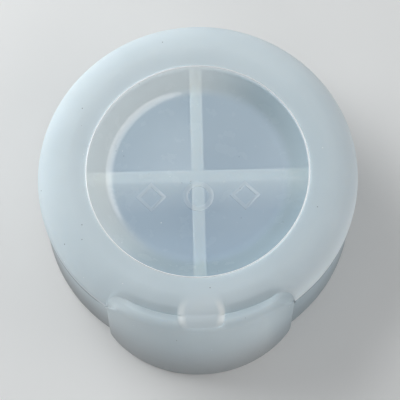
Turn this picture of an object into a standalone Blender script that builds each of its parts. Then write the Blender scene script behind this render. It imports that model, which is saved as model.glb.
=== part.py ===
"""Round silicone resin casting mould: a hollow lower body with a front lobe, a cross divider standing inside
it, a domed ring cover with a front lug, and a shallow casting dish that drops into the cover's opening.

Frame: +Z up, the disc's axis is the Z axis, the table is z = 0 and the lobe points to -Y."""

import math

import bmesh
import bpy

MM = 0.001

# Driving dimensions, in millimetres.
OUTER_R = 65.0  # outer radius of the round body
SEGMENTS = 72  # facets around every turned piece
GAP = 0.3  # clearance between pieces that touch
WALL = 3.0  # silicone wall thickness

SEAM_Z = 34.5  # top of the lower body's rim, where the cover sits
BEAD_H = 2.2  # height of the bead along that rim
BEAD_OUT = 0.6  # how far the bead stands out of the wall

EDGE_Z = 38.9  # where the cover's side starts to round over
CROWN_Z = 47.3  # highest circle of the cover
CROWN_R = 52.5  # radius of that circle
SPIGOT_IN_R = 59.0  # inside of the collar that locates the cover
SPIGOT_Z = 30.9  # bottom of that collar
UNDER_Z = 38.2  # where the cover's underside starts to round over
SEAT_LENGTH = 5.9  # slope length of the flange that carries the dish
SEAT_T = 2.2  # thickness of that flange
SHOULDER_Z = 45.9  # height of the cover's rounded inner edge
SHOULDER_IN = 0.4  # size of the small chamfer below it

LIP_R = 44.75  # inner radius of the dish at its lip
LIP_Z = 45.4  # height where the lip's half-round bead starts
LIP_BEAD = 0.45  # radius of that bead
FLOOR_Z = 39.1  # top of the dish floor
FLOOR_T = 1.4  # thickness of the dish floor
DISH_T = 1.6  # thickness of the dish's sloping wall
DISH_SLOPE = math.radians(36.0)  # slope of the dish's wall above the horizontal
DISH_FILLET = 7.0  # radius between floor and wall
COVER_IN_R = LIP_R + 2 * LIP_BEAD + GAP  # radius of the cover's opening at the top

RIB_W = 5.0  # thickness of the divider's arms
RIB_TOP = FLOOR_Z - FLOOR_T - GAP  # top edge of the arms under the dish floor
RIB_END_TOP = 33.2  # height of the arms where they pass under the cover
RIB_BEND_R = 38.0  # where the arms' top edge starts to fall
RIB_R = OUTER_R - WALL - BEAD_OUT - GAP  # reach of the arms at the base
RIB_SHORT_R = SPIGOT_IN_R - 2 * GAP  # reach of the arms beside the cover's collar
RIB_NOTCH_Z = SPIGOT_Z - 1.4  # height of the step between the two

LOBE_FRONT = 73.8  # furthest reach of the lobe from the axis, at the table
LOBE_ARC_R = 49.0  # radius of the lobe's front, seen from above
LOBE_BACK_R = 60.5  # back of the lobe, where it meets the cover
LOBE_EDGE_R = 65.6  # front edge of the lobe's top
LOBE_TOP_Z = 45.2  # highest line of the lobe
LOBE_EDGE_Z = 42.2  # height of the front edge
LOBE_VALLEY_Z = 43.2  # height of the lobe along its back
LOBE_HALF_ANGLE = math.radians(34.5)  # half of the sector that the lobe takes
LOBE_END_POWER = 8.0  # how square the lobe's ends are, seen from above
LOBE_EAR_POWER = 14.0  # how square they are, seen from the front
LOBE_FLARE_POWER = 1.6  # how the front leans out towards the table
LOBE_STEPS = 36  # facets across the lobe
CAVITY_IN_R = 57.0  # where the lobe's hollow opens into the main one
CAVITY_TOP_Z = 33.5  # top of the lobe's hollow
CAVITY_HALF_ANGLE = LOBE_HALF_ANGLE - WALL / OUTER_R
CLEAR_HALF_ANGLE = LOBE_HALF_ANGLE + 1.5 * GAP / LOBE_BACK_R

LUG_Y = -58.9  # centre of the lug
LUG_Z = 41.4
LUG_HALF_W = 7.6
LUG_HALF_L = 6.6
LUG_HALF_H = 5.3
LUG_POWER = 2.3  # how square the lug's sides are: 2 is an ellipsoid
LUG_PLAN_POWER = 3.2  # how square it is, seen from above
LUG_COLUMNS = 40  # facets around it
LUG_UNDER_Z = 42.6  # underside of the lug over the lobe

MARK_H = 0.5  # height of the raised marks on the dish floor
MARK_ROOT = 0.4  # how deep they are rooted in the floor
MARK_STROKE = 2.2
MARK_SIZE = 6.3  # half height of a mark
MARK_Y = -9.4
MARK_PITCH = 19.0


def clear_scene():
    for item in list(bpy.data.objects):
        bpy.data.objects.remove(item, do_unlink=True)


def silicone(name, colour, roughness, alpha=1.0):
    material = bpy.data.materials.new(name)
    material.use_nodes = True
    shader = material.node_tree.nodes["Principled BSDF"]
    shader.inputs["Base Color"].default_value = (*colour, 1.0)
    shader.inputs["Roughness"].default_value = roughness
    shader.inputs["Metallic"].default_value = 0.0
    shader.inputs["Alpha"].default_value = alpha
    return material


def place(name, bm, material=None):
    """Writes a bmesh, drawn in millimetres, to a new object in metres."""
    bmesh.ops.scale(bm, vec=(MM, MM, MM), verts=bm.verts)
    bmesh.ops.remove_doubles(bm, verts=bm.verts, dist=0.001 * MM)
    bmesh.ops.recalc_face_normals(bm, faces=bm.faces)
    mesh = bpy.data.meshes.new(name)
    bm.to_mesh(mesh)
    bm.free()
    mesh.shade_smooth()
    mesh.set_sharp_from_angle(angle=math.radians(30))
    item = bpy.data.objects.new(name, mesh)
    bpy.context.scene.collection.objects.link(item)
    if material:
        mesh.materials.append(material)
    return item


def cutter(name, bm):
    item = place(name, bm)
    item.hide_render = True
    item.display_type = "WIRE"
    return item


def combine(target, other, operation):
    modifier = target.modifiers.new(f"{operation.lower()}_{other.name}", "BOOLEAN")
    modifier.operation = operation
    modifier.object = other
    modifier.solver = "EXACT"


def arc(centre, radii, start, end, steps):
    """Points of an elliptical arc in the (radius, height) plane, angles in degrees."""
    points = []
    for step in range(steps + 1):
        angle = math.radians(start + (end - start) * step / steps)
        points.append((centre[0] + radii[0] * math.cos(angle), centre[1] + radii[1] * math.sin(angle)))
    return points


def turned(profile):
    """A bmesh of the closed profile, (radius, height) points, turned about the Z axis."""
    bm = bmesh.new()
    verts = [bm.verts.new((radius, 0.0, height)) for radius, height in profile]
    edges = [bm.edges.new((verts[i - 1], verts[i])) for i in range(len(verts))]
    bmesh.ops.spin(
        bm,
        geom=verts + edges,
        cent=(0.0, 0.0, 0.0),
        axis=(0.0, 0.0, 1.0),
        angle=math.tau,
        steps=SEGMENTS,
        use_merge=True,
    )
    return bm


def wall_profile():
    """Straight wall with a rounded bead along its top edge."""
    wall_r = OUTER_R - BEAD_OUT
    inside_r = wall_r - WALL
    bead = arc((wall_r, SEAM_Z - BEAD_H / 2), (BEAD_OUT, BEAD_H / 2), 90, -90, 6)
    return [(inside_r, 0.0), (inside_r, SEAM_Z), *bead, (OUTER_R, 3.0), (OUTER_R, 0.0)]


def cover_profile():
    """Domed channel: inner seat for the dish, rounded top, outer side and locating collar."""
    along = (math.cos(DISH_SLOPE), math.sin(DISH_SLOPE))
    seat_z = LIP_Z + (COVER_IN_R - LIP_R) * math.tan(DISH_SLOPE) - (DISH_T + GAP) / along[0]
    seat_top = (COVER_IN_R, seat_z)
    seat_low = (seat_top[0] - along[0] * SEAT_LENGTH, seat_top[1] - along[1] * SEAT_LENGTH)
    seat_under = (seat_low[0] + along[1] * SEAT_T, seat_low[1] - along[0] * SEAT_T)
    seat_root = (seat_top[0] + along[1] * SEAT_T, seat_top[1] - along[0] * SEAT_T)
    collar_r = OUTER_R - BEAD_OUT - WALL - GAP
    foot_z = SEAM_Z + GAP
    top = arc((CROWN_R, EDGE_Z), (OUTER_R - CROWN_R, CROWN_Z - EDGE_Z), 90, 0, 12)
    under = arc((CROWN_R, UNDER_Z), (SPIGOT_IN_R - CROWN_R, CROWN_Z - WALL - UNDER_Z), 0, 90, 6)
    shoulder = arc((CROWN_R, SHOULDER_Z), (CROWN_R - COVER_IN_R - SHOULDER_IN, CROWN_Z - SHOULDER_Z), 180, 110, 4)
    inner_edge = [seat_top, (COVER_IN_R, SHOULDER_Z - SHOULDER_IN), *shoulder]
    collar = [(collar_r, foot_z), (collar_r, SPIGOT_Z), (SPIGOT_IN_R, SPIGOT_Z)]
    foot = [(OUTER_R, foot_z + 0.5), (OUTER_R - 0.5, foot_z)]
    return [*inner_edge, *top, *foot, *collar, *under, seat_root, seat_under, seat_low]


def dish_curve(offset, floor_z, wall_end):
    """Floor, fillet and sloping wall, offset outwards from the dish's inner surface."""
    tangent = DISH_FILLET * math.tan(DISH_SLOPE / 2)
    corner_r = LIP_R - (LIP_Z - FLOOR_Z) / math.tan(DISH_SLOPE)
    centre = (corner_r - tangent, FLOOR_Z + DISH_FILLET)
    radii = (DISH_FILLET + offset, centre[1] - floor_z)
    end = math.degrees(DISH_SLOPE)
    return [(0.0, floor_z), *arc(centre, radii, -90, -90 + end, 6), wall_end]


def dish_profile():
    out = (math.sin(DISH_SLOPE) * DISH_T, math.cos(DISH_SLOPE) * DISH_T)
    inner = dish_curve(0.0, FLOOR_Z, (LIP_R, LIP_Z))
    outer = dish_curve(DISH_T, FLOOR_Z - FLOOR_T, (LIP_R + out[0], LIP_Z - out[1]))
    bead = arc((LIP_R + LIP_BEAD, LIP_Z), (LIP_BEAD, LIP_BEAD), 180, 0, 8)
    return [*inner[:-1], *bead, *reversed(outer)]


def lobe_reach(angle):
    """Distance from the axis to the lobe's front at the table, in the direction angle from -Y."""
    centre = LOBE_FRONT - LOBE_ARC_R
    return centre * math.cos(angle) + math.sqrt(LOBE_ARC_R**2 - (centre * math.sin(angle)) ** 2)


def end_factor(angle, half_angle, power):
    """1 across the lobe, falling to 0 at its two rounded ends."""
    return (1.0 - min(1.0, abs(angle) / half_angle) ** power) ** (1.0 / power)


def lobe_front_r(angle, height):
    """Radius of the lobe's front surface, which leans out towards the table."""
    rise = max(0.0, height / LOBE_EDGE_Z)
    return lobe_reach(angle) - (lobe_reach(angle) - LOBE_EDGE_R) * rise**LOBE_FLARE_POWER


def lobe_section(angle):
    """Outline of the lobe at one angle from its middle, as (radius, height) points."""
    crest_r = (LOBE_BACK_R + LOBE_EDGE_R) / 2
    points = [(LOBE_BACK_R, 0.0), (LOBE_BACK_R, LOBE_VALLEY_Z)]
    points += arc((crest_r, LOBE_VALLEY_Z), (crest_r - LOBE_BACK_R - 0.4, LOBE_TOP_Z - LOBE_VALLEY_Z), 150, 90, 3)
    points += arc((crest_r, LOBE_EDGE_Z), (LOBE_EDGE_R - crest_r, LOBE_TOP_Z - LOBE_EDGE_Z), 75, 0, 4)
    for step in range(1, 9):
        height = LOBE_EDGE_Z * (1.0 - step / 8)
        points.append((lobe_front_r(angle, height), height))
    plan = end_factor(angle, LOBE_HALF_ANGLE, LOBE_END_POWER)
    rise = end_factor(angle, LOBE_HALF_ANGLE, LOBE_EAR_POWER)
    inner_r = OUTER_R - 1.0
    return [(min(r, inner_r) + max(0.0, r - inner_r) * plan, z * rise) for r, z in points]


def clearance_section(angle):
    """The lobe's outline with the running gap around it."""
    middle_r = (LOBE_BACK_R + LOBE_EDGE_R) / 2
    section = lobe_section(angle * LOBE_HALF_ANGLE / CLEAR_HALF_ANGLE)
    return [(r + math.copysign(GAP, r - middle_r), z + GAP) for r, z in section]


def cavity_section(angle):
    """Outline of the hollow inside the lobe, open to the table and to the main hollow."""
    low_z = -1.0
    points = [(CAVITY_IN_R, low_z), (CAVITY_IN_R, SPIGOT_Z - 0.5), (LOBE_BACK_R + 1.5, CAVITY_TOP_Z)]
    for step in range(7):
        height = CAVITY_TOP_Z + (low_z - CAVITY_TOP_Z) * step / 6
        points.append((lobe_front_r(angle, height) - WALL, height))
    factor = end_factor(angle, CAVITY_HALF_ANGLE, LOBE_END_POWER)
    shut_r = OUTER_R - BEAD_OUT - WALL
    return [(min(r, shut_r) + max(0.0, r - shut_r) * factor, z) for r, z in points]


def sector_section(angle):
    """Outline of the space that the cover leaves free for the lobe."""
    inner_r = LOBE_BACK_R - GAP
    outer_r = OUTER_R + 5.0
    return [(inner_r, SPIGOT_Z - 1.0), (inner_r, CROWN_Z + 5.0), (outer_r, CROWN_Z + 5.0), (outer_r, SPIGOT_Z - 1.0)]


def swept(section, half_angle):
    """Sections swept about the axis, either side of -Y, with flat ends."""
    bm = bmesh.new()
    loops = []
    for step in range(LOBE_STEPS + 1):
        angle = half_angle * math.sin(math.pi * (step / LOBE_STEPS - 0.5))
        across, along = math.sin(angle), -math.cos(angle)
        loops.append([bm.verts.new((r * across, r * along, z)) for r, z in section(angle)])
    for first, second in zip(loops, loops[1:]):
        for i in range(len(first)):
            bm.faces.new((first[i - 1], first[i], second[i], second[i - 1]))
    bm.faces.new(loops[0])
    bm.faces.new(reversed(loops[-1]))
    return bm


def lug(margin):
    """Rounded lug with a flat underside, larger all over by margin."""
    half = (LUG_HALF_W + margin, LUG_HALF_L + margin, LUG_HALF_H + margin)
    power = 2.0 / LUG_POWER
    low = math.asin(((LUG_UNDER_Z - margin - LUG_Z) / half[2]) ** (1.0 / power))
    bm = bmesh.new()
    loops = []
    for row in range(8):
        rise = low + (math.pi / 2 - low) * row / 8
        ring = []
        for column in range(LUG_COLUMNS):
            turn = math.tau * column / LUG_COLUMNS
            squarer = (abs(math.cos(turn)) ** LUG_PLAN_POWER + abs(math.sin(turn)) ** LUG_PLAN_POWER)
            side = math.cos(turn) * squarer ** (-1.0 / LUG_PLAN_POWER)
            front = math.sin(turn) * squarer ** (-1.0 / LUG_PLAN_POWER)
            spread = math.cos(rise) ** power
            height = LUG_Z + half[2] * math.sin(rise) ** power
            ring.append(bm.verts.new((half[0] * side * spread, LUG_Y + half[1] * front * spread, height)))
        loops.append(ring)
    for lower, upper in zip(loops, loops[1:]):
        for i in range(len(lower)):
            bm.faces.new((lower[i - 1], lower[i], upper[i], upper[i - 1]))
    tip = bm.verts.new((0.0, LUG_Y, LUG_Z + half[2]))
    for i in range(len(loops[-1])):
        bm.faces.new((loops[-1][i - 1], loops[-1][i], tip))
    bm.faces.new(reversed(loops[0]))
    return bm


def mark_frame(sides, x):
    """Flat raised outline with the given number of sides, rooted in the dish floor."""
    bm = bmesh.new()
    loops = []
    for radius, height in (
        (MARK_SIZE, -MARK_ROOT),
        (MARK_SIZE, MARK_H),
        (MARK_SIZE - MARK_STROKE, MARK_H),
        (MARK_SIZE - MARK_STROKE, -MARK_ROOT),
    ):
        loop = []
        for side in range(sides):
            turn = math.tau * side / sides
            spot = (x + radius * math.cos(turn), MARK_Y + radius * math.sin(turn), FLOOR_Z + height)
            loop.append(bm.verts.new(spot))
        loops.append(loop)
    for i, loop in enumerate(loops):
        other = loops[i - 1]
        for side in range(sides):
            bm.faces.new((other[side - 1], other[side], loop[side], loop[side - 1]))
    return bm


def rib_plate(across):
    """One straight arm of the divider from side to side; across is True for the arm along X."""
    half = [
        (RIB_R, 0.0),
        (RIB_R, RIB_NOTCH_Z),
        (RIB_SHORT_R, RIB_NOTCH_Z),
        (RIB_SHORT_R, RIB_END_TOP),
        *arc((RIB_BEND_R, RIB_END_TOP), (RIB_SHORT_R - RIB_BEND_R, RIB_TOP - RIB_END_TOP), 20, 90, 6),
    ]
    outline = half + [(-reach, height) for reach, height in reversed(half)]
    bm = bmesh.new()
    sides = []
    for offset in (-RIB_W / 2, RIB_W / 2):
        spots = [(s, offset, z) if across else (offset, s, z) for s, z in outline]
        sides.append([bm.verts.new(spot) for spot in spots])
    for i in range(len(outline)):
        bm.faces.new((sides[0][i - 1], sides[0][i], sides[1][i], sides[1][i - 1]))
    bm.faces.new(sides[0])
    bm.faces.new(reversed(sides[1]))
    return bm


def make_lower_body(material):
    body = place("lower_body", turned(wall_profile()), material)
    combine(body, cutter("lobe_shape", swept(lobe_section, LOBE_HALF_ANGLE * 0.998)), "UNION")
    combine(body, cutter("lobe_cavity", swept(cavity_section, CAVITY_HALF_ANGLE)), "DIFFERENCE")
    combine(body, cutter("lug_recess", lug(GAP)), "DIFFERENCE")
    return body


def make_divider(material):
    divider = place("cross_divider", rib_plate(True), material)
    combine(divider, cutter("front_back_arm", rib_plate(False)), "UNION")
    return divider


def make_cover(material):
    cover = place("ring_cover", turned(cover_profile()), material)
    combine(cover, cutter("lobe_clearance", swept(clearance_section, CLEAR_HALF_ANGLE)), "DIFFERENCE")
    combine(cover, cutter("lobe_sector", swept(sector_section, LOBE_HALF_ANGLE * 0.93)), "DIFFERENCE")
    combine(cover, cutter("lug_shape", lug(0.0)), "UNION")
    return cover


def make_dish(material):
    dish = place("casting_dish", turned(dish_profile()), material)
    for i, sides in enumerate((4, 32, 4)):
        mark = cutter(f"mark_{i + 1}", mark_frame(sides, (i - 1) * MARK_PITCH))
        combine(dish, mark, "UNION")
    return dish


def main():
    clear_scene()
    milky = silicone("milky_silicone", (0.60, 0.68, 0.72), 0.42)
    pale = silicone("pale_silicone", (0.66, 0.74, 0.78), 0.38)
    inner = silicone("inner_silicone", (0.62, 0.69, 0.73), 0.45)
    clear = silicone("clear_silicone", (0.50, 0.60, 0.70), 0.30, alpha=0.6)
    make_lower_body(milky)
    make_divider(inner)
    cover = make_cover(pale)
    dish = make_dish(clear)
    dish.parent = cover


main()
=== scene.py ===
"""Looks of the round silicone casting mould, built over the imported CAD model."""

import math

import bmesh
import bpy
import numpy as np
from mathutils import Matrix, Vector


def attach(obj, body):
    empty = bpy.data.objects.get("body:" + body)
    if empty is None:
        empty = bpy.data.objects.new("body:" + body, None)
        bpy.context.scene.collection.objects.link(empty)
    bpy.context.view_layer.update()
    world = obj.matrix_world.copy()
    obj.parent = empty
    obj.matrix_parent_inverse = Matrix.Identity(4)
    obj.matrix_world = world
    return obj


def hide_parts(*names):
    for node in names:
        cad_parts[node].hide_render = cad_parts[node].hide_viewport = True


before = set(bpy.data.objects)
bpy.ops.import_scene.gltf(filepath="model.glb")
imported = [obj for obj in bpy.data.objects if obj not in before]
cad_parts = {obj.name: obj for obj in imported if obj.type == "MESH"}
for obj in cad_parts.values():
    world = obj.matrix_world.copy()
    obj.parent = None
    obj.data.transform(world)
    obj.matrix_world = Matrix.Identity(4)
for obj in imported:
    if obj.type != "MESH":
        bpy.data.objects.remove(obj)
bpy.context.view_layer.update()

MM = 0.001

# Sizes in millimetres, the same as in the CAD model.
OUTER_R = 65.0  # outer radius of the round body
WALL = 3.0  # silicone wall thickness
BODY_IN_R = 61.4  # inner radius of the wall
SEAM_Z = 34.5  # top of the wall, where the cover sits
BEAD_OUT = 0.6  # how far the bead under the seam stands out
BEAD_HALF_H = 1.1  # half the height of that bead
EDGE_Z = 38.9  # where the cover's side starts to round over
CROWN_R = 52.5  # radius of the cover's highest circle
CROWN_Z = 47.3  # height of that circle
COLLAR_R = 61.1  # outside of the collar that locates the cover
COLLAR_IN_R = 59.0  # inside of that collar
COLLAR_Z = 30.9  # bottom of that collar
UNDER_Z = 38.2  # where the cover's underside starts to round over
SEAT_LENGTH = 5.9  # slope length of the flange that carries the dish
SEAT_T = 2.2  # thickness of that flange
LIP_R = 44.75  # inner radius of the dish at its lip
LIP_Z = 45.4  # height where the lip's bead starts
FLOOR_Z = 39.1  # top of the dish floor
FLOOR_T = 1.4  # thickness of the dish floor
DISH_T = 1.6  # thickness of the dish's slope
DISH_SLOPE = math.radians(36.0)  # slope above the horizontal
DISH_FILLET = 7.0  # radius between floor and slope
RIB_W = 5.0  # thickness of the divider's arms
RIB_TOP = FLOOR_Z - FLOOR_T - 0.3  # top edge of the arms under the dish floor
RIB_END_TOP = 33.2  # height of the arms where they pass under the cover
RIB_BEND_R = 38.0  # where their top edge starts to fall
RIB_R = 61.1  # reach of the arms at the foot
RIB_SHORT_R = 58.4  # reach of the arms beside the collar
RIB_NOTCH_Z = 29.5  # height of the step between the two
MARK_SIZE = 6.3  # half height of a raised mark
MARK_STROKE = 2.2
MARK_ROOT = 0.4  # how deep the marks are rooted in the floor
MARK_H = 0.5
MARK_Y = -9.4
MARK_PITCH = 19.0
LOBE_FRONT = 73.8  # furthest reach of the lobe from the axis, at the table
LOBE_ARC_R = 49.0  # radius of the lobe's front, seen from above
LOBE_EDGE_R = 65.6  # front edge of the lobe's top
LOBE_EDGE_Z = 42.2  # height of that edge
LOBE_FLARE_POWER = 1.6  # how the front leans out towards the table

# Sizes of the visible skin only, in millimetres and degrees: finer than the CAD model or a little off it.
LIP_BEAD = 0.24  # radius of the bright bead on the dish's lip
DOME_DROP = 1.45  # how far the cover's top falls towards the lip
DOME_W = 6.95  # width of that fall
DOME_POWER = 1.4
INNER_EDGE_R = 45.38  # where the cover's top starts, next to the lip
SEAT_TOP = (46.05, 44.05)  # radius and height of the upper end of the seat
ARCH_RISE = 6.1  # height of the round underside of the cover
COLLAR_FOOT_Z = 31.1  # where the collar's foot starts to round
RIM_Z = 34.8  # underside of the cover's rim
SIDE_LOW_Z = 35.3  # lower end of the cover's straight side
WALL_R = 64.4  # radius of the wall at the seam
WALL_TOP = (64.42, 32.0)  # radius and height of the wall's end below the bead
BEAD_Z = 33.4  # middle of the bead
VALLEY_R = 60.3  # radius of the valley between the cover and the lobe
VALLEY_W = 8.5  # width over which the cover's skin sinks into it
VALLEY_DEPTH = 0.75  # depth of that sink at the lobe's middle
VALLEY_EAR_DEPTH = 0.25  # and at the lobe's ends
CUT_HALF = 34.66  # half the sector that the cover leaves to the lobe
CUT_BLEND = 0.6  # width of the change from the plain ring to that cut
CUT_EASE = 3.0  # width over which the dome meets the cut's edge
CUT_MID_Z = 39.5  # where the cut's wall changes its row spacing
FEATHER = 0.35  # how far the cover's skin laps the lobe
TOP_SPAN = (36.0, 43.0)  # heights between which the sink sets in
SINK_SPAN = (50.0, 52.0)  # radii between which the sink sets in
LOBE_HALF = 34.6  # half the sector that the lobe takes
LOBE_BACK_R = 60.33  # back of the lobe
LOBE_VALLEY_Z = 44.0  # height of the lobe along its back
LOBE_TOP = 44.2  # highest line of the lobe
LOBE_END_R = 64.0  # radius of the lobe's front at its two ends
LOBE_END_POWER = 8  # how square these ends are, seen from above
LOBE_ROUND_R = 3.5  # width of the lobe's rounded front edge
LOBE_ROUND_Z = 40.0  # where that edge starts to round over
LOBE_INNER_POINTS = 12  # points of the lobe's outline that lie inside its hollow
LOBE_SKIN = slice(22, 59)  # points of the lobe's outline along its top
EAR_SPAN = (22.0, 33.5)  # headings between which the lobe's ends are raised
EAR_LIFT = 0.5
EAR_SPAN_Z = (41.0, 43.0)  # heights between which they are levelled with the dome
EAR_ROUND = 5.0  # length over which they round into the cover
EAR_CORNER = 4.6  # corner radius of the lobe's back, seen from above
MM_PER_DEGREE = 1.13  # at the lobe's radius
LUG_HALF_W = 9.0
LUG_WIDEST_R = 58.5  # where the lug is widest
LUG_BACK = 7.0  # distance over which it narrows towards the lip
LUG_END = 65.2  # radius of its tip
LUG_TIP_Z = 42.95
LUG_UNDER_Z = 42.1
LUG_BULGE = 0.45  # how far its top rises above a straight line
LUG_ROUND = 3.4  # width of its rounded sides
LUG_HEADINGS = 14.0  # headings on either side that hold the lug
OVAL = 0.0055  # share by which the pieces are oval
OVAL_TURN = math.radians(63.0)
THREE_SIDED = 0.0008  # share by which they are three-sided
DISH_ALPHA = 0.42  # how solid the dish looks

# Tints, as linear colours.
PALE = (0.93, 0.96, 0.97)
SHADE = (0.30, 0.38, 0.42)
WHITE = (0.97, 0.98, 0.99)

# Camera, fitted to the photo: tilt from the vertical, turn about the axis, distance and offsets.
CAM_TILT = math.radians(19.0)
CAM_TURN = math.radians(1.33)
CAM_AIM_Z = 36.0
CAM_DISTANCE = 610.5
CAM_RIGHT = 0.87
CAM_UP = -9.35
CAM_LENS = 135.0
CAM_SENSOR = 36.0


# ---------------------------------------------------------------- mesh helpers


def link(name, mesh):
    """New object in the scene with that mesh, light or camera."""
    item = bpy.data.objects.new(name, mesh)
    bpy.context.scene.collection.objects.link(item)
    return item


def from_bmesh(name, bm):
    """Object made from a bmesh in millimetres; ends the bmesh."""
    bmesh.ops.remove_doubles(bm, verts=bm.verts, dist=0.0005)
    bmesh.ops.recalc_face_normals(bm, faces=bm.faces)
    bmesh.ops.scale(bm, vec=(MM, MM, MM), verts=bm.verts)
    mesh = bpy.data.meshes.new(name)
    bm.to_mesh(mesh)
    bm.free()
    return link(name, mesh)


def apply_modifiers(item):
    graph = bpy.context.evaluated_depsgraph_get()
    mesh = bpy.data.meshes.new_from_object(item.evaluated_get(graph))
    old = item.data
    item.modifiers.clear()
    item.data = mesh
    bpy.data.meshes.remove(old)


def join_by(target, other, operation):
    modifier = target.modifiers.new(operation.lower(), "BOOLEAN")
    modifier.operation = operation
    modifier.object = other
    modifier.solver = "EXACT"
    apply_modifiers(target)
    bpy.data.objects.remove(other, do_unlink=True)


def smooth_shading(item, angle):
    item.data.shade_smooth()
    item.data.set_sharp_from_angle(angle=math.radians(angle))


def arc(centre, radii, start, end, steps):
    """Points along an elliptical arc, angles in degrees, both ends included."""
    points = []
    for step in range(steps + 1):
        turn = math.radians(start + (end - start) * step / steps)
        points.append((centre[0] + radii[0] * math.cos(turn), centre[1] + radii[1] * math.sin(turn)))
    return points


def revolve(profile, steps):
    """A closed (radius, height) outline turned about Z, with no doubled seam."""
    bm = bmesh.new()
    loops = []
    for radius, height in profile:
        if radius < 1e-6:
            loops.append([bm.verts.new((0.0, 0.0, height))])
            continue
        loop = []
        for step in range(steps):
            turn = math.tau * step / steps
            loop.append(bm.verts.new((radius * math.cos(turn), radius * math.sin(turn), height)))
        loops.append(loop)
    for index in range(len(loops)):
        lower, upper = loops[index - 1], loops[index]
        if len(lower) == 1 and len(upper) == 1:
            continue
        for step in range(steps):
            after = (step + 1) % steps
            corners = [lower[step % len(lower)], lower[after % len(lower)]]
            corners += [upper[after % len(upper)], upper[step % len(upper)]]
            unique = []
            for vert in corners:
                if vert not in unique:
                    unique.append(vert)
            bm.faces.new(unique)
    return bm


def points_of(item):
    """Vertices of a piece, in millimetres."""
    flat = np.empty(len(item.data.vertices) * 3)
    item.data.vertices.foreach_get("co", flat)
    return flat.reshape(-1, 3) / MM


def set_points(item, points):
    item.data.vertices.foreach_set("co", (points * MM).ravel())
    item.data.update()


def ease(value, low, high):
    """0 below low, 1 above high and a smooth step between; low may be the larger one."""
    share = np.clip((value - low) / (high - low), 0.0, 1.0)
    return share * share * (3.0 - 2.0 * share)


def line(first, last, steps):
    """Points from first to last, without last."""
    points = []
    for step in range(steps):
        points.append(tuple(first[k] + (last[k] - first[k]) * step / steps for k in range(2)))
    return points


def headings():
    """Angles from the lobe's middle, in degrees, closer together at its ends and at the lug."""
    marks = [*np.arange(-180.0, 180.0, 1.5), *np.arange(-40.0, 40.0, 0.75)]
    for side in (-1.0, 1.0):
        marks += [*(side * np.arange(32.0, 36.0, 0.15)), *(side * np.arange(5.6, 10.4, 0.15))]
    return np.unique(np.round(marks, 3))


def loft(name, section):
    """Closed skin through one closed (radius, height) outline for each heading."""
    bm = bmesh.new()
    loops = []
    for heading in headings():
        turn = math.radians(heading)
        outline = section(heading)
        loops.append([bm.verts.new((r * math.sin(turn), -r * math.cos(turn), z)) for r, z in outline])
    for index in range(len(loops)):
        first, second = loops[index - 1], loops[index]
        for step in range(len(first)):
            bm.faces.new((first[step - 1], first[step], second[step], second[step - 1]))
    return from_bmesh(name, bm)


def blended(first, second, share):
    """Two outlines mixed point by point; share is one number or one for each point."""
    share = np.clip(np.broadcast_to(np.asarray(share, float), (len(first),)), 0.0, 1.0)[:, None]
    return np.asarray(first) * (1.0 - share) + np.asarray(second) * share


# ---------------------------------------------------------------- materials


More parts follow.
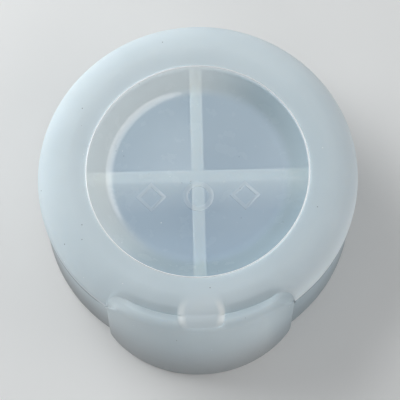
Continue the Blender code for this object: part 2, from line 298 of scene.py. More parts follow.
class Nodes:
    """Small builder for a material's node tree."""

    def __init__(self, name):
        self.material = bpy.data.materials.new(name)
        self.material.use_nodes = True
        self.tree = self.material.node_tree
        self.shader = self.tree.nodes["Principled BSDF"]
        self.coords = self.tree.nodes.new("ShaderNodeTexCoord")

    def add(self, kind, **values):
        """New node; each value sets a property or, failing that, an input."""
        node = self.tree.nodes.new(kind)
        for key, value in values.items():
            if hasattr(node, key):
                setattr(node, key, value)
            else:
                node.inputs[key].default_value = value
        return node

    def link(self, output, node, socket):
        self.tree.links.new(output, node.inputs[socket])

    def place(self):
        return self.coords.outputs["Object"]

    def noise(self, scale, detail=2.0, rough=0.5):
        node = self.add("ShaderNodeTexNoise", Scale=scale, Detail=detail, Roughness=rough)
        self.link(self.place(), node, "Vector")
        return node.outputs["Fac"]

    def remap(self, value, low, high, to_low=0.0, to_high=1.0, smooth=False):
        node = self.add("ShaderNodeMapRange")
        node.interpolation_type = "SMOOTHSTEP" if smooth else "LINEAR"
        node.clamp = True
        self.link(value, node, "Value")
        node.inputs["From Min"].default_value = low
        node.inputs["From Max"].default_value = high
        node.inputs["To Min"].default_value = to_low
        node.inputs["To Max"].default_value = to_high
        return node.outputs["Result"]

    def math(self, operation, first, second=0.0):
        node = self.add("ShaderNodeMath")
        node.operation = operation
        for index, value in enumerate((first, second)):
            if isinstance(value, (int, float)):
                node.inputs[index].default_value = value
            else:
                self.tree.links.new(value, node.inputs[index])
        return node.outputs["Value"]

    def times(self, value, *factors):
        """Product of a value and one or more factors."""
        for factor in factors:
            value = self.math("MULTIPLY", value, factor)
        return value

    def band(self, value, centre, zero, full, peak=1.0, smooth=False):
        """From 0 to peak as the value's distance from the centre goes from zero to full."""
        away = self.math("ABSOLUTE", self.math("SUBTRACT", value, centre))
        return self.remap(away, zero, full, 0.0, peak, smooth)

    def mix(self, factor, first, second):
        node = self.add("ShaderNodeMix")
        node.data_type = "RGBA"
        if isinstance(factor, (int, float)):
            node.inputs[0].default_value = factor
        else:
            self.tree.links.new(factor, node.inputs[0])
        for index, value in ((6, first), (7, second)):
            if isinstance(value, tuple):
                node.inputs[index].default_value = (*value, 1.0)
            else:
                self.tree.links.new(value, node.inputs[index])
        return node.outputs[2]

    def axes(self):
        node = self.add("ShaderNodeSeparateXYZ")
        self.link(self.place(), node, "Vector")
        return node.outputs["X"], node.outputs["Y"], node.outputs["Z"]

    def radius(self):
        """Distance from the axis, with the pieces' slight oval taken out."""
        x, y, _ = self.axes()
        xx, yy = self.times(x, x), self.times(y, y)
        total = self.math("ADD", xx, yy)
        first = self.times(self.math("SUBTRACT", xx, yy), OVAL * math.cos(2.0 * OVAL_TURN))
        second = self.times(x, y, 2.0 * OVAL * math.sin(2.0 * OVAL_TURN))
        oval = self.math("DIVIDE", self.math("ADD", first, second), total)
        return self.times(self.math("SQRT", total), self.math("SUBTRACT", 1.0, oval))

    def specks(self, scale, size, share):
        """Sparse round specks: 1 inside a speck, in the given share of the cells."""
        cells = self.add("ShaderNodeTexVoronoi", Scale=scale, Randomness=1.0)
        self.link(self.place(), cells, "Vector")
        near = self.remap(cells.outputs["Distance"], size * 0.5, size, 1.0, 0.0)
        picked = self.add("ShaderNodeSeparateColor")
        self.link(cells.outputs["Color"], picked, "Color")
        chosen = self.math("LESS_THAN", picked.outputs["Red"], share)
        return self.math("MULTIPLY", near, chosen)

    def bump(self, height, strength, distance, before=None):
        node = self.add("ShaderNodeBump", Strength=strength, Distance=distance)
        self.link(height, node, "Height")
        if before is not None:
            self.link(before, node, "Normal")
        return node.outputs["Normal"]

    def set(self, **values):
        """Inputs of the shader, with _ for a space in their names."""
        for key, value in values.items():
            self.shader.inputs[key.replace("_", " ")].default_value = value


def silicone(name, light, deep, roughness, scatter, paint, alpha=None, grain=0.12):
    """Cast silicone: cloudy colour, a few bubbles and dust specks, satin skin with faint waves."""
    nodes = Nodes(name)
    cloud = nodes.remap(nodes.noise(scale=28.0, detail=3.0), 0.35, 0.65, smooth=True)
    colour = paint(nodes, nodes.mix(cloud, deep, light))
    bubbles = nodes.specks(scale=260.0, size=0.075, share=0.10)
    dust = nodes.specks(scale=300.0, size=0.090, share=0.13)
    colour = nodes.mix(nodes.times(bubbles, 0.60), colour, (0.97, 0.99, 1.0))
    colour = nodes.mix(nodes.times(dust, 0.75), colour, (0.14, 0.16, 0.18))
    nodes.link(colour, nodes.shader, "Base Color")
    patches = nodes.noise(scale=160.0, detail=3.0)
    rough = nodes.remap(patches, 0.3, 0.7, roughness - 0.05, roughness + 0.06)
    nodes.link(rough, nodes.shader, "Roughness")
    waves = nodes.bump(nodes.noise(scale=45.0), strength=0.25, distance=0.0006)
    skin = nodes.bump(nodes.noise(scale=900.0), strength=grain, distance=0.0001, before=waves)
    nodes.link(skin, nodes.shader, "Normal")
    nodes.set(IOR=1.41, Metallic=0.0)
    nodes.set(Subsurface_Weight=scatter, Subsurface_Scale=0.004, Subsurface_Radius=(0.9, 1.0, 1.1))
    if alpha is not None:
        solid = nodes.math("MAXIMUM", nodes.times(dust, 0.8), nodes.times(bubbles, 0.7))
        nodes.link(nodes.math("MAXIMUM", alpha(nodes), solid), nodes.shader, "Alpha")
    return nodes.material


# ---------------------------------------------------------------- pieces


def dish_side(offset, floor_z, reach):
    """One side of the dish from its middle to the lip: floor, fillet and slope, moved out by an offset."""
    tangent = DISH_FILLET * math.tan(DISH_SLOPE / 2)
    corner_r = LIP_R - (LIP_Z - FLOOR_Z) / math.tan(DISH_SLOPE)
    centre = (corner_r - tangent, FLOOR_Z + DISH_FILLET)
    radii = (DISH_FILLET + offset, centre[1] - floor_z)
    fillet = arc(centre, radii, -90, -90 + math.degrees(DISH_SLOPE), 14)
    floor = line((0.0, floor_z), (fillet[0][0], floor_z), 12)
    slope = line(fillet[-1], reach, 6)[1:]
    return [*floor, *fillet, *slope, reach]


def make_dish():
    out = (math.sin(DISH_SLOPE) * DISH_T, math.cos(DISH_SLOPE) * DISH_T)
    inner = dish_side(0.0, FLOOR_Z, (LIP_R, LIP_Z))
    outer = dish_side(DISH_T, FLOOR_Z - FLOOR_T, (LIP_R + out[0], LIP_Z - out[1]))
    bead = arc((LIP_R + LIP_BEAD, LIP_Z), (LIP_BEAD, LIP_BEAD), 180, 0, 12)
    dish = from_bmesh("dish_skin", revolve([*inner[:-1], *bead, *reversed(outer)], 288))
    for index, sides in enumerate((4, 48, 4)):
        join_by(dish, make_mark(sides, (index - 1) * MARK_PITCH), "UNION")
    smooth_shading(dish, 40)
    return dish


def make_mark(sides, x):
    """Raised outline with rounded edges, rooted in the dish floor."""
    edge = 0.22
    inner = MARK_STROKE - edge
    section = [
        (0.0, -MARK_ROOT),
        (0.0, MARK_H - edge),
        (edge * 0.3, MARK_H - edge * 0.3),
        (edge, MARK_H),
        (inner, MARK_H),
        (MARK_STROKE - edge * 0.3, MARK_H - edge * 0.3),
        (MARK_STROKE, MARK_H - edge),
        (MARK_STROKE, -MARK_ROOT),
    ]
    bm = bmesh.new()
    loops = []
    for inset, rise in section:
        radius = MARK_SIZE - inset
        loop = []
        for side in range(sides):
            turn = math.tau * side / sides
            spot = (x + radius * math.cos(turn), MARK_Y + radius * math.sin(turn), FLOOR_Z + rise)
            loop.append(bm.verts.new(spot))
        loops.append(loop)
    for index, loop in enumerate(loops):
        other = loops[index - 1]
        for side in range(sides):
            bm.faces.new((other[side - 1], other[side], loop[side], loop[side - 1]))
    return from_bmesh("mark", bm)


def arm(across):
    """One bar of the cross, along X or along Y, with its ends stepped under the cover's collar."""
    fall = (RIB_SHORT_R - RIB_BEND_R, RIB_TOP - RIB_END_TOP)
    half = [
        (RIB_R, 0.0),
        (RIB_R, RIB_NOTCH_Z),
        (RIB_SHORT_R, RIB_NOTCH_Z),
        (RIB_SHORT_R, RIB_END_TOP),
        *arc((RIB_BEND_R, RIB_END_TOP), fall, 20, 90, 10),
    ]
    outline = half + [(-reach, height) for reach, height in reversed(half)]
    bm = bmesh.new()
    sides = []
    for offset in (-RIB_W / 2, RIB_W / 2):
        spots = [(s, offset, z) if across else (offset, s, z) for s, z in outline]
        sides.append([bm.verts.new(spot) for spot in spots])
    for i in range(len(outline)):
        bm.faces.new((sides[0][i - 1], sides[0][i], sides[1][i], sides[1][i - 1]))
    bm.faces.new(sides[0])
    bm.faces.new(reversed(sides[1]))
    return from_bmesh("arm", bm)


def make_divider():
    divider = arm(True)
    join_by(divider, arm(False), "UNION")
    bevel = divider.modifiers.new("soft_edges", "BEVEL")
    bevel.width = 0.35 * MM
    bevel.segments = 3
    bevel.limit_method = "ANGLE"
    bevel.angle_limit = math.radians(40)
    apply_modifiers(divider)
    smooth_shading(divider, 35)
    return divider


def dome_z(radius):
    """Height of the cover's top surface: flat towards the lip, round towards the outside."""
    inner = CROWN_Z - DOME_DROP * (np.clip(CROWN_R - radius, 0.0, None) / DOME_W) ** DOME_POWER
    across = (radius - CROWN_R) / (OUTER_R - CROWN_R)
    outer = EDGE_Z + (CROWN_Z - EDGE_Z) * np.sqrt(np.clip(1.0 - across**2, 0, 1))
    return np.where(radius < CROWN_R, inner, outer)


def dome_line(first, last):
    """Points on the cover's top surface from one radius to another, without the last."""
    return [(r, float(dome_z(r))) for r in np.linspace(first, last, 16, endpoint=False)]


def cover_seat():
    """Underside of the cover, from the collar round to the seat under the dish and up to the inner edge."""
    run, rise = math.cos(DISH_SLOPE), math.sin(DISH_SLOPE)
    low = (SEAT_TOP[0] - run * SEAT_LENGTH, SEAT_TOP[1] - rise * SEAT_LENGTH)
    under = (low[0] + rise * SEAT_T, low[1] - run * SEAT_T)
    root = (SEAT_TOP[0] + rise * SEAT_T, SEAT_TOP[1] - run * SEAT_T)
    arch = arc((CROWN_R, UNDER_Z), (COLLAR_IN_R - CROWN_R, ARCH_RISE), 0, 90, 10)
    collar = line((COLLAR_IN_R, COLLAR_FOOT_Z), arch[0], 4)
    seat = [*line(root, under, 4), *line(under, low, 2), *line(low, SEAT_TOP, 4)]
    edge = [(SEAT_TOP[0], 44.1), (45.75, 44.8), (45.5, 45.35)]
    return [*collar, *arch, *seat, *edge]


def ring_edge():
    """Outside of the plain ring: shoulder, side, rim and collar."""
    radii = (OUTER_R - CROWN_R, CROWN_Z - EDGE_Z)
    start = math.degrees(math.acos((VALLEY_R - CROWN_R) / radii[0]))
    shoulder = arc((CROWN_R, EDGE_Z), radii, start, 0, 16)
    side = line((OUTER_R, EDGE_Z - 0.2), (OUTER_R, SIDE_LOW_Z), 6)
    side += [(OUTER_R - 0.12, 34.98), (OUTER_R - 0.45, RIM_Z)]
    rim = line((WALL_R, RIM_Z), (COLLAR_R, RIM_Z), 4)
    collar = line((COLLAR_R, RIM_Z), (COLLAR_R, COLLAR_FOOT_Z), 4)
    return [*dome_line(CROWN_R, VALLEY_R), *shoulder, *side, *rim, *collar]


def cut_edge(back, edge):
    """Outside of the ring next to the lobe: its top eases to the edge's height, then falls straight."""
    start, end = back - CUT_EASE, back + FEATHER
    rise = edge - float(dome_z(end))
    over = []
    for step in range(9):
        r = start + (CUT_EASE + FEATHER) * step / 8
        over.append((r, float(dome_z(r)) + rise * float(ease(r, start, end))))
    over.append((back + FEATHER * 0.5, edge - 0.06))
    upper = line((back, edge - 0.1), (back, CUT_MID_Z), 7)
    lower = line((back, CUT_MID_Z), (back, SIDE_LOW_Z), 8)
    collar = line((back, SIDE_LOW_Z), (VALLEY_R, COLLAR_FOOT_Z), 8)
    return [*dome_line(CROWN_R, start), *over, *upper, *lower, *collar]


def lug_edge():
    """Outside of the ring at the lug: its top, tip and underside."""
    start_z = float(dome_z(VALLEY_R))
    over = []
    for share in np.linspace(0.0, 0.98, 14):
        z = start_z + (LUG_TIP_Z + 0.06 - start_z) * share + LUG_BULGE * math.sin(math.pi * share)
        over.append((VALLEY_R + (LUG_END - VALLEY_R) * share, z))
    tip = [(LUG_END, 43.0), (LUG_END - 0.1, 43.1), (LUG_END - 0.35, 43.36)]
    under = line((LUG_END - 0.4, LUG_UNDER_Z), (VALLEY_R, LUG_UNDER_Z), 8)
    collar = line((VALLEY_R, LUG_UNDER_Z - 0.3), (VALLEY_R, COLLAR_FOOT_Z), 8)
    return [*dome_line(CROWN_R, VALLEY_R), *over, *tip, *under, *collar]


def cover_outline(outside):
    """The cover's closed outline round one of the outsides above; each has the same number of points."""
    foot = [(60.0, COLLAR_Z), (59.2, COLLAR_Z)]
    return np.array([*dome_line(INNER_EDGE_R, CROWN_R), *outside, *foot, *cover_seat()])


def valley_drop(radius, heading):
    """How far the cover's skin sinks next to the lobe, at one point."""
    away = abs(heading)
    if radius <= VALLEY_R:
        beside = max(0.0, away - CUT_HALF) * radius * math.pi / 180
        gap = math.hypot(VALLEY_R - radius, beside)
    else:
        gap = abs(away - CUT_HALF) * radius * math.pi / 180
    share = max(0.0, 1.0 - gap / VALLEY_W)
    depth = VALLEY_DEPTH - (VALLEY_DEPTH - VALLEY_EAR_DEPTH) * float(ease(away, *EAR_SPAN))
    return depth * share * share * (3.0 - 2.0 * share)


def lug_half(along):
    """Half the lug's width that far out along the lobe's middle; its plan is a rounded button."""
    if along > LUG_WIDEST_R:
        share = (along - LUG_WIDEST_R) / (LUG_END + 0.1 - LUG_WIDEST_R)
        return LUG_HALF_W * max(0.0, 1.0 - share**6) ** (1 / 3)
    share = (LUG_WIDEST_R - along) / LUG_BACK
    return LUG_HALF_W * math.sqrt(max(0.05, 1.0 - 0.30 * share**2))


def ear_corner(away, half):
    """How far the lobe's back moves out at its rounded ends, at that angle from the lobe's middle."""
    gap = (half - away) * math.radians(VALLEY_R)
    if gap > EAR_CORNER:
        return 0.0
    return EAR_CORNER - math.sqrt(max(0.0, EAR_CORNER**2 - (EAR_CORNER - max(gap, 0.0)) ** 2))


def cut_outline(heading, skin):
    """The cover's outline next to the lobe, with its edge on the lobe's skin."""
    back = VALLEY_R + ear_corner(abs(heading), CUT_HALF)
    edge = float(np.interp(back + FEATHER, skin[:, 0], skin[:, 1])) + 0.03
    edge += valley_drop(back + FEATHER, heading) * float(ease(edge, *TOP_SPAN))
    return cover_outline(cut_edge(back, edge))


def with_lug(outline, nose, heading, skin):
    """The outline at one heading with the lug's part of it in place of the plain one."""
    turn = math.radians(heading)
    radius, height = nose[:, 0], nose[:, 1]
    spread = np.abs(radius * math.sin(turn))
    half = np.array([lug_half(r * math.cos(turn)) for r in radius])
    surface = np.interp(radius, skin[:, 0], skin[:, 1])
    middle_z = LUG_UNDER_Z + 0.5
    low = nose.copy()
    beyond = (radius > VALLEY_R) & (height > middle_z)
    low[beyond, 1] = np.minimum(height[beyond], surface[beyond] + 0.05)
    within = (radius <= VALLEY_R) & (height > 44.0)
    low[within, 1] -= np.array([valley_drop(r, heading) for r in radius[within]])
    lug = blended(low, nose, ease(spread, half, half - LUG_ROUND))
    feather = (spread > half - 0.1) & (radius > VALLEY_R) & (height < middle_z)
    lug[feather, 1] = np.maximum(lug[feather, 1], surface[feather] + 0.02)
    return np.where((spread < half + 0.3)[:, None], lug, outline)


def make_cover():
    """The domed ring, cut back for the lobe and merged with the lug that reaches over it."""
    ring, nose = cover_outline(ring_edge()), cover_outline(lug_edge())

    def section(heading):
        away = abs(heading)
        outline = ring.copy()
        if away < CUT_HALF + CUT_BLEND:
            skin = lobe_section(heading)[LOBE_SKIN]
            share = ease(away, CUT_HALF + CUT_BLEND, CUT_HALF)
            outline = blended(ring, cut_outline(heading, skin), share)
        sink = np.array([valley_drop(r, heading) for r in outline[:, 0]])
        outline[:, 1] -= sink * ease(outline[:, 1], *TOP_SPAN) * ease(outline[:, 0], *SINK_SPAN)
        if away < LUG_HEADINGS:
            outline = with_lug(outline, nose, heading, skin)
        return outline

    cover = loft("ring_cover", section)
    smooth_shading(cover, 50)
    return cover


def lobe_reach(turn):
    """Distance from the axis to the lobe's front at table level."""
    centre = LOBE_FRONT - LOBE_ARC_R
    return centre * math.cos(turn) + math.sqrt(LOBE_ARC_R**2 - (centre * math.sin(turn)) ** 2)


def wall_outline():
    """The lower body's closed outline away from the lobe: inside, rim, bead and wall."""
    rim_r = BODY_IN_R + 0.1
    inner = line((BODY_IN_R, 0.0), (BODY_IN_R, 33.0), 10) + line((BODY_IN_R, 33.0), (BODY_IN_R, 34.2), 2)
    back = line((BODY_IN_R, 34.2), (rim_r, SEAM_Z), 10)
    top = line((rim_r, SEAM_Z), (WALL_R - 0.1, SEAM_Z), 10)
    bead = arc((WALL_R, BEAD_Z), (BEAD_OUT, BEAD_HALF_H), 90, -90, 26)
    wall = line(WALL_TOP, (OUTER_R, 2.0), 11)
    foot = [(OUTER_R, 1.0), (OUTER_R - 0.1, 0.3), (OUTER_R - 0.4, 0.0)]
    return np.array(inner + back + top + bead + wall + foot)


def lobe_outline(heading, back_r):
    """The hollow lobe's closed outline, point for point like the plain one, before its ears are raised."""
    reach = lobe_reach(math.radians(heading))
    end = max(0.0, 1.0 - (abs(heading) / LOBE_HALF) ** LOBE_END_POWER) ** (1 / LOBE_END_POWER)

    def front(z):
        lean = reach - (reach - LOBE_EDGE_R) * max(z / LOBE_EDGE_Z, 0.0) ** LOBE_FLARE_POWER
        return LOBE_END_R + (lean - LOBE_END_R) * end

    inner = [(front(z) - WALL, z) for z in np.linspace(0.0, 28.0, 10)] + [(62.0, 32.5), (60.6, 33.5)]
    back = line((back_r, 33.8), (back_r, LOBE_VALLEY_Z - 0.25), 10)
    nose_centre = (front(LOBE_ROUND_Z) - LOBE_ROUND_R, LOBE_ROUND_Z)
    nose = arc(nose_centre, (LOBE_ROUND_R, LOBE_TOP - LOBE_ROUND_Z), 88, 4, 26)
    nose = [(max(r, back_r + 1.5 + 0.02 * step), z) for step, (r, z) in enumerate(nose)]
    top = arc((back_r + 1.1, LOBE_VALLEY_Z - 0.3), (1.1, 0.3), 160, 95, 4)
    top += line((back_r + 1.3, LOBE_VALLEY_Z + 0.05), nose[0], 5)
    wall = [(front(z), z) for z in (39.5, 37.0, 34.0, 30.0, 26.0, 22.0, 18.0, 14.0, 10.0, 6.0, 3.0)]
    foot = [(front(1.0), 1.0), (front(0.3) - 0.1, 0.3), (front(0.0) - 0.4, 0.0)]
    return np.array(inner + back + top + nose + wall + foot)


def lobe_section(heading):
    """The lobe's outline at one heading, with its raised and rounded ears."""
    away = abs(heading)
    bounded = min(max(heading, -LOBE_HALF), LOBE_HALF)
    full = lobe_outline(bounded, LOBE_BACK_R + ear_corner(away, LOBE_HALF))
    radius = full[:, 0]
    dome = dome_z(radius)
    lift = EAR_LIFT * ease(away, *EAR_SPAN)
    full[:, 1] += lift * ease(full[:, 1], 40.0, 43.5) * ease(radius, 65.0, 61.5)
    level = np.maximum(dome - 0.2, EAR_SPAN_Z[0])
    share = 0.85 * ease(away, 25.0, 33.0) * ease(radius, 65.4, 62.5) * ease(full[:, 1], *EAR_SPAN_Z)
    full[:, 1] += (level - full[:, 1]) * share
    gap = max(LOBE_HALF - away, 0.0) * MM_PER_DEGREE
    level = dome - 0.1
    raised = np.where(level > full[:, 1], ease(full[:, 1], *EAR_SPAN_Z), 1.0)
    share = np.where(full[:, 1] > 38.8, ease(gap, EAR_ROUND, 0.3) * raised, 0.0)
    full[:, 1] += (level - full[:, 1]) * share
    return full


def lug_pocket(full, heading):
    """The lobe's outline with its top lowered under the lug."""
    turn = math.radians(heading)
    half = np.array([lug_half(r * math.cos(turn)) for r in full[:, 0]])
    under = (np.abs(full[:, 0] * math.sin(turn)) < half) & (full[:, 0] < LUG_END - 0.3)
    full[:, 1] -= np.maximum(full[:, 1] - LUG_UNDER_Z + 0.1, 0.0) * under
    return full


def make_body():
    """The wall with its bead, and the hollow lobe at the front."""
    plain = wall_outline()

    def section(heading):
        away = abs(heading)
        if away > LOBE_HALF + 0.2:
            return plain
        full = lobe_section(heading)
        if away < LUG_HEADINGS:
            full = lug_pocket(full, heading)
        outside = ease(away, LOBE_HALF + 0.15, LOBE_HALF)
        inside = ease(away, LOBE_HALF - 2.0, LOBE_HALF - 2.9)
        share = np.where(np.arange(len(full)) < LOBE_INNER_POINTS, inside, outside)
        return blended(plain, full, share)

    body = loft("lower_body", section)
    smooth_shading(body, 50)
    return body


def cast_warp(item):
    """Soft silicone is never quite round: every piece takes the same slight oval and unevenness."""
    spots = points_of(item)
    turn = np.arctan2(spots[:, 1], spots[:, 0])
    oval = 1.0 + OVAL * np.cos(2.0 * (turn - OVAL_TURN)) + THREE_SIDED * np.cos(3.0 * turn + 0.7)
    spots[:, :2] *= oval[:, None]
    set_points(item, spots)


def finish_piece(item, name, body, node, material):
    """Warp, name and material of a piece, and the part of the frame that it rides on and replaces."""
    cast_warp(item)
    item.name = name
    item.data.name = name
    item.data.materials.clear()
    item.data.materials.append(material)
    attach(item, body)
    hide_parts(node)


# ---------------------------------------------------------------- paint


def ring_paint(nodes, colour):
    """Darker next to the lip. Painted shade: greyer at the front right, away from the key light, and in the
    groove behind the lobe. Painted highlights: whiter on the lug's sides, along the outer right edge and on
    the rim over the seam. A little paler on the lug's top. In metres, with the front at -Y."""
    x, y, z = nodes.axes()
    radius = nodes.radius()
    # Darker next to the lip.
    lip = nodes.remap(radius, 0.0455, 0.053, 1.0, 0.0, smooth=True)
    colour = nodes.mix(nodes.times(lip, 0.07), colour, (0.42, 0.50, 0.55))
    # Painted shade: greyer towards the front right, away from the key light at the back left.
    lean = nodes.math("SUBTRACT", nodes.times(y, 0.6), nodes.times(x, 0.5))
    colour = nodes.mix(nodes.remap(lean, -0.025, 0.045, 0.23, 0.0), colour, (0.30, 0.37, 0.41))
    # Painted shade in the groove behind the lobe, kept off the lug and stronger towards the right.
    groove = nodes.band(radius, 0.0596, 0.0040, 0.0002, smooth=True)
    beside_lug = nodes.band(x, 0.0, 0.0092, 0.0120)
    at_lobe = nodes.remap(y, -0.0485, -0.0515)
    to_right = nodes.remap(x, -0.020, 0.020, 0.0, 0.26)
    colour = nodes.mix(nodes.times(groove, beside_lug, at_lobe, to_right), colour, SHADE)
    # Painted highlights: whiter rounded sides on the lug, stronger on its right side.
    along = nodes.math("ADD", y, 0.060)
    across_share = nodes.times(nodes.math("ABSOLUTE", x), 1 / 0.0092)
    along_share = nodes.times(nodes.math("ABSOLUTE", along), 1 / 0.0105)
    squares = [nodes.math("POWER", share, 2.0) for share in (across_share, along_share)]
    from_middle = nodes.math("SQRT", nodes.math("ADD", *squares))
    side = nodes.band(from_middle, 0.86, 0.22, 0.03, smooth=True)
    end = nodes.band(along, 0.0, 0.0062, 0.0015, smooth=True)
    strength = nodes.remap(x, -0.006, 0.006, 0.50, 0.70)
    colour = nodes.mix(nodes.times(side, end, strength), colour, (0.93, 0.96, 0.95))
    button = nodes.times(nodes.band(x, 0.0, 0.0090, 0.0060), nodes.remap(y, -0.052, -0.056))
    colour = nodes.mix(nodes.times(button, 0.16), colour, PALE)
    # Painted light: paler along the outer right edge of the ring.
    outside = nodes.times(nodes.remap(radius, 0.0575, 0.0640), nodes.remap(x, 0.010, 0.045))
    colour = nodes.mix(nodes.times(outside, 0.25), colour, PALE)
    # Painted highlight: a whiter band round the cover's side above the seam.
    rim = nodes.band(z, 0.0368, 0.0024, 0.0010, 0.28)
    return nodes.mix(rim, colour, (0.98, 0.99, 1.0))


def rib_paint(nodes, colour):
    """Painted shade: the arms darken from their top edge downwards, as less light reaches deep inside."""
    _, _, z = nodes.axes()
    depth = nodes.remap(z, 0.0, 0.0372, 1.0, 0.0)
    return nodes.mix(nodes.times(depth, 0.60), colour, (0.34, 0.38, 0.42))


def body_paint(nodes, colour):
    """Milky at the top. Painted shade: greyer towards the foot, darker on the right side and at the lobe's
    right end, darker along the lobe's back and in a line on the wall under the seam. Painted light: paler at
    the lobe's left front and on the wall's bead."""
    x, y, z = nodes.axes()
    # Painted shade: greyer towards the foot.
    depth = nodes.remap(z, 0.0, 0.040, 1.0, 0.0, smooth=True)
    colour = nodes.mix(nodes.times(depth, 0.95), colour, (0.36, 0.38, 0.39))
    # Painted shade: darker on the right side, away from the key light, the lobe's right end included.
    colour = nodes.mix(nodes.remap(x, 0.026, 0.038, 0.0, 0.50), colour, (0.24, 0.32, 0.37))
    # Painted light: paler at the lobe's left front, towards the key light.
    left = nodes.times(nodes.remap(x, -0.012, -0.030, 0.0, 0.13), nodes.remap(y, -0.048, -0.054))
    colour = nodes.mix(left, colour, (0.90, 0.94, 0.95))
    # Painted shade along the lobe's back, between its ears.
    valley = nodes.remap(nodes.radius(), 0.0598, 0.0652, 0.46, 0.0, smooth=True)
    between_ears = nodes.band(x, 0.0, 0.031, 0.022)
    on_top = nodes.remap(z, 0.040, 0.042)
    colour = nodes.mix(nodes.times(valley, between_ears, on_top), colour, SHADE)
    off_lobe = nodes.remap(y, -0.0530, -0.0500)
    # Painted highlight on the wall's bead, off the lobe.
    bead = nodes.band(z, 0.0318, 0.0022, 0.0008, 0.5)
    colour = nodes.mix(nodes.times(bead, off_lobe), colour, (0.80, 0.87, 0.90))
    # Painted shade: a dark line in the groove under the seam, off the lobe.
    seam = nodes.band(z, 0.0341, 0.0010, 0.0005, 0.6)
    return nodes.mix(nodes.times(seam, off_lobe), colour, (0.20, 0.24, 0.27))


def ring_alpha(nodes):
    """The thin flange under the dish is clear."""
    return nodes.remap(nodes.radius(), 0.0451, 0.0454, 0.10, 1.0)


def lit_slope_side(nodes):
    """1 on the back and left of the dish's slope, the side that is painted lighter as if lit, 0 on its floor
    and on the other side.
    """
    x, y, _ = nodes.axes()
    side = nodes.math("SUBTRACT", nodes.times(y, 0.5), nodes.times(x, 0.85))
    slope = nodes.remap(nodes.radius(), 0.0335, 0.0385, smooth=True)
    return nodes.times(slope, nodes.remap(side, -0.012, 0.026, smooth=True))


def dish_alpha(nodes):
    """See-through all over, a little more solid on the slope's lit side, which strengthens its painted
    light, and nearly solid at the lip.
    """
    lip = nodes.remap(nodes.radius(), 0.0446, 0.0449, DISH_ALPHA, 0.95)
    # Painted light: the slope's lit side is a little more solid.
    lit_side_alpha = nodes.math("ADD", nodes.times(lit_slope_side(nodes), 0.16), DISH_ALPHA)
    return nodes.math("MAXIMUM", lip, lit_side_alpha)


def dish_paint(nodes, colour):
    """Bluer towards the front, greyer on the slope, painted lighter at the slope's back and left where the
    light falls, paler on the marks and white at the lip as a painted highlight. The slope at the front has
    no glossy coat, which would mirror the lip opposite."""
    radius = nodes.radius()
    _, y, z = nodes.axes()
    nodes.link(nodes.remap(y, -0.031, -0.022, smooth=True), nodes.shader, "Coat Weight")
    front = nodes.remap(y, 0.030, -0.036, 0.0, 0.50, smooth=True)
    colour = nodes.mix(front, colour, (0.40, 0.56, 0.74))
    slope = nodes.remap(radius, 0.0345, 0.0395, 0.0, 0.62, smooth=True)
    colour = nodes.mix(slope, colour, (0.40, 0.53, 0.58))
    # Painted light on the back and left of the slope.
    colour = nodes.mix(lit_slope_side(nodes), colour, (0.86, 0.94, 0.97))
    mark = nodes.times(nodes.remap(z, 0.03930, 0.03950), nodes.remap(radius, 0.0300, 0.0290))
    colour = nodes.mix(nodes.times(mark, 0.20), colour, (0.93, 0.97, 1.0))
    # Painted highlight: the lip drawn white as a bright edge line.
    return nodes.mix(nodes.remap(radius, 0.0446, 0.0448), colour, WHITE)


# ---------------------------------------------------------------- build


body = make_body()
cover = make_cover()
divider = make_divider()
dish = make_dish()

body_silicone = silicone(
    "milky_silicone",
    light=(0.67, 0.76, 0.80),
    deep=(0.63, 0.72, 0.76),
    roughness=0.50,
    scatter=0.35,
    paint=body_paint,
)
cover_silicone = silicone(
    "pale_silicone",
    light=(0.73, 0.82, 0.86),
    deep=(0.69, 0.78, 0.82),
    roughness=0.50,
    scatter=0.35,
    paint=ring_paint,
    alpha=ring_alpha,
)
rib_silicone = silicone(
    "inner_silicone",
    light=(0.75, 0.74, 0.65),
    deep=(0.72, 0.71, 0.62),
    roughness=0.45,
    scatter=0.9,
    paint=rib_paint,
)
dish_silicone = silicone(
    "clear_silicone",
    light=(0.64, 0.78, 0.90),
    deep=(0.61, 0.75, 0.87),
    roughness=0.24,
    scatter=0.0,
    paint=dish_paint,
    alpha=dish_alpha,
    grain=0.03,
)
gloss = dish_silicone.node_tree.nodes["Principled BSDF"].inputs
gloss["Coat IOR"].default_value = 1.7
gloss["Coat Roughness"].default_value = 0.06

# The silicone lets light through, so the two upper pieces cast no shadow on what lies under them.
dish.visible_shadow = False
cover.visible_shadow = False

finish_piece(body, "lower_body_soft", "base", "lower_body", body_silicone)
finish_piece(divider, "cross_divider_soft", "base", "cross_divider", rib_silicone)
finish_piece(cover, "ring_cover_soft", "cover", "ring_cover", cover_silicone)
finish_piece(dish, "casting_dish_soft", "dish", "casting_dish", dish_silicone)


# ---------------------------------------------------------------- floor, light, camera


def make_floor():
    """A plain pale floor, 4 m across."""
    bm = bmesh.new()
    bmesh.ops.create_grid(bm, x_segments=1, y_segments=1, size=2000.0)
    floor = from_bmesh("studio_floor", bm)
    nodes = Nodes("studio_floor")
    nodes.set(Roughness=0.85)
    tone = nodes.mix(nodes.noise(scale=6.0, detail=4.0), (0.84, 0.84, 0.83), (0.88, 0.88, 0.87))
    nodes.link(tone, nodes.shader, "Base Color")
    floor.data.materials.append(nodes.material)
    floor.visible_glossy = False


def area_light(name, direction, distance, size, radiance, colour, along=(0.0, 1.0, 0.0)):
    """Soft box seen from the object in that direction, its first side lying along the given axis."""
    light = bpy.data.lights.new(name, "AREA")
    light.shape = "RECTANGLE"
    light.size, light.size_y = size
    light.energy = radiance * math.pi * size[0] * size[1]
    light.color = colour
    item = link(name, light)
    back = Vector(direction).normalized()
    first = Vector(along)
    first = (first - back * first.dot(back)).normalized()
    turn = Matrix((first, back.cross(first), back)).transposed().to_4x4()
    aim = Vector((0.0, 0.0, 0.04))
    item.matrix_world = Matrix.Translation(aim + back * distance) @ turn
    item.visible_camera = False
    return item


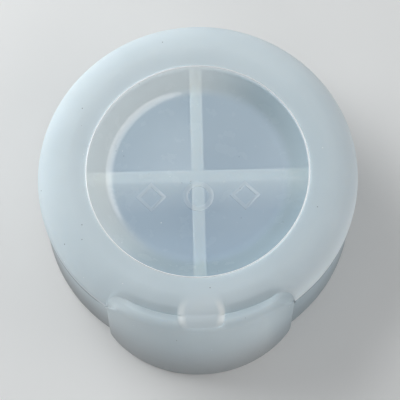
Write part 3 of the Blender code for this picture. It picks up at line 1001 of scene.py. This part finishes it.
def make_light():
    """Four soft boxes that give no reflections, and one, the sheen, that is seen only as a reflection."""
    world = bpy.data.worlds.new("studio")
    bpy.context.scene.world = world
    world.use_nodes = True
    background = world.node_tree.nodes["Background"]
    background.inputs["Color"].default_value = (0.94, 0.97, 1.0, 1.0)
    background.inputs["Strength"].default_value = 0.30
    warm = (1.0, 0.99, 0.98)
    cool = (0.97, 0.99, 1.0)
    key = area_light(
        "key", direction=(-0.87, 0.66, 0.68), distance=0.75, size=(0.65, 0.55), radiance=4.2, colour=cool
    )
    fill = area_light(
        "fill", direction=(0.92, -0.10, 0.32), distance=1.4, size=(1.0, 0.8), radiance=2.2, colour=warm
    )
    front = area_light(
        "front", direction=(0.14, -0.92, 0.36), distance=1.4, size=(1.0, 0.6), radiance=1.25, colour=warm
    )
    yellowish = (1.0, 1.0, 0.97)
    inside = area_light(
        "inside", direction=(0.0, -0.96, 0.28), distance=1.0, size=(0.6, 0.5), radiance=2.8, colour=yellowish
    )
    for light in (key, fill, front, inside):
        light.visible_glossy = False
    # The inside light falls on the divider only: it stands in for light that comes through the silicone.
    ribs = bpy.data.collections.new("ribs")
    ribs.objects.link(divider)
    inside.light_linking.receiver_collection = ribs
    inside.light_linking.blocker_collection = ribs
    # The sheen's round outline gives the bright curved band on the left of the dish.
    sheen = area_light(
        "sheen",
        direction=(0.497, 0.080, 0.872),
        distance=1.0,
        size=(1.32, 0.86),
        radiance=1.95,
        colour=(1.0, 1.0, 1.0),
        along=(0.24, 0.91, -0.30),
    )
    sheen.data.shape = "ELLIPSE"
    sheen.visible_diffuse = False


def make_camera():
    """The photo's view, from above and a little in front."""
    camera = bpy.data.cameras.new("camera")
    camera.lens = CAM_LENS
    camera.sensor_width = CAM_SENSOR
    camera.clip_start = 0.01
    camera.clip_end = 20.0
    right = Vector((math.cos(CAM_TURN), -math.sin(CAM_TURN), 0.0))
    ahead = Vector((math.sin(CAM_TURN), math.cos(CAM_TURN), 0.0))
    up = ahead * math.cos(CAM_TILT) + Vector((0.0, 0.0, math.sin(CAM_TILT)))
    toward = ahead * -math.sin(CAM_TILT) + Vector((0.0, 0.0, math.cos(CAM_TILT)))
    spot = Vector((0.0, 0.0, CAM_AIM_Z)) + toward * CAM_DISTANCE + right * CAM_RIGHT + up * CAM_UP
    item = link("camera", camera)
    turn = Matrix((right, up, toward)).transposed().to_4x4()
    item.matrix_world = Matrix.Translation(spot * MM) @ turn
    bpy.context.scene.camera = item


make_floor()
make_light()
make_camera()
bpy.context.scene.view_settings.view_transform = "Standard"
bpy.context.scene.view_settings.look = "None"
